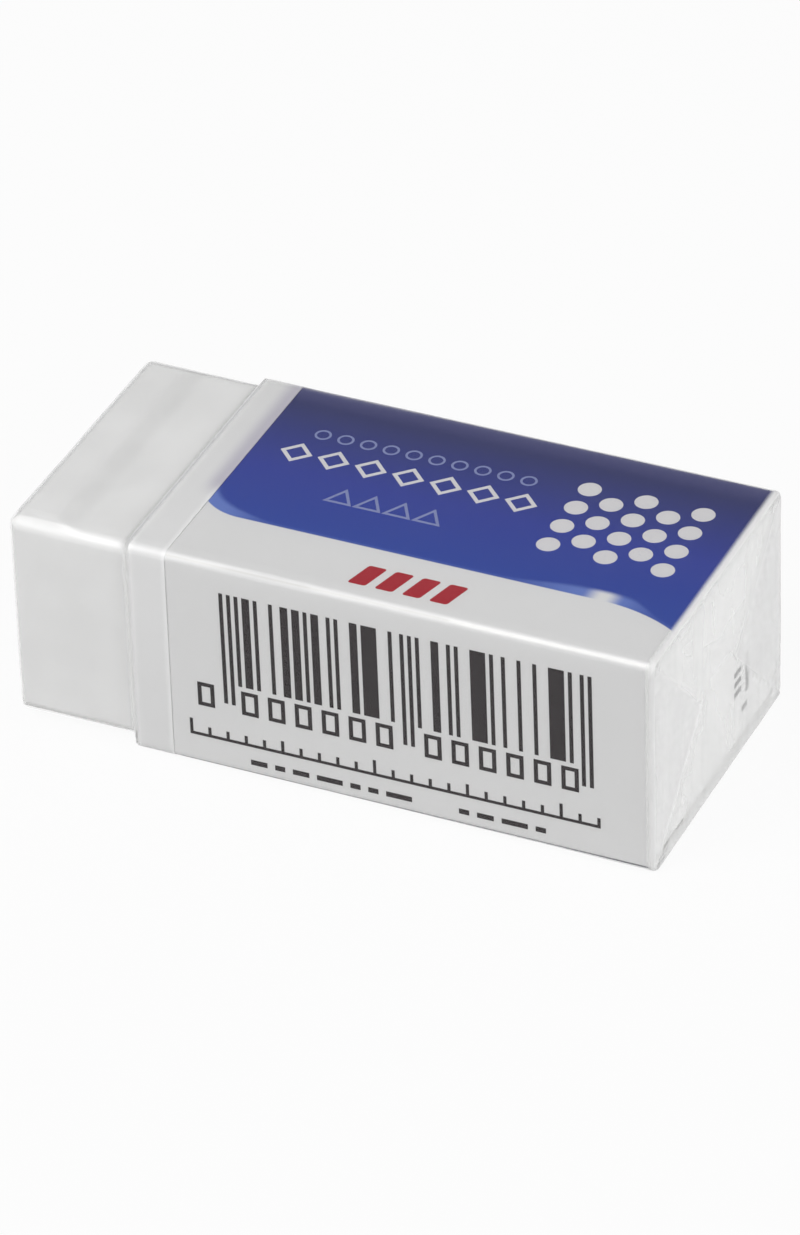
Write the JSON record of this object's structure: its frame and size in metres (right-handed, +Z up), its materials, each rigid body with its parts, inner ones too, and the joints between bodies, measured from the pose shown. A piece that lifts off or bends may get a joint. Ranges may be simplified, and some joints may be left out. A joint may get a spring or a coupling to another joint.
{
  "type": "block eraser",
  "caption": "White block eraser in a printed card sleeve, bare at one end and sealed in a clear film wrap; rubs out pencil marks.",
  "frame": {"origin": "under the middle of the wrapped block, on the surface that it rests on", "axes": "+X along the block towards its covered end, +Y towards the back, +Z up out of the panel with the blue field"},
  "size_m": [0.035, 0.017, 0.0125],
  "materials": {
    "eraser": "matte white plastic rubber",
    "sleeve": "smooth coated card, printed white and blue",
    "tear_strip": "milky clear strip",
    "film": "clear glossy film"
  },
  "bodies": {
    "root": {"eraser": "eraser", "sleeve": "sleeve", "tear_strip": "tear_strip", "film_wrap": "film"}
  },
  "joints": []
}
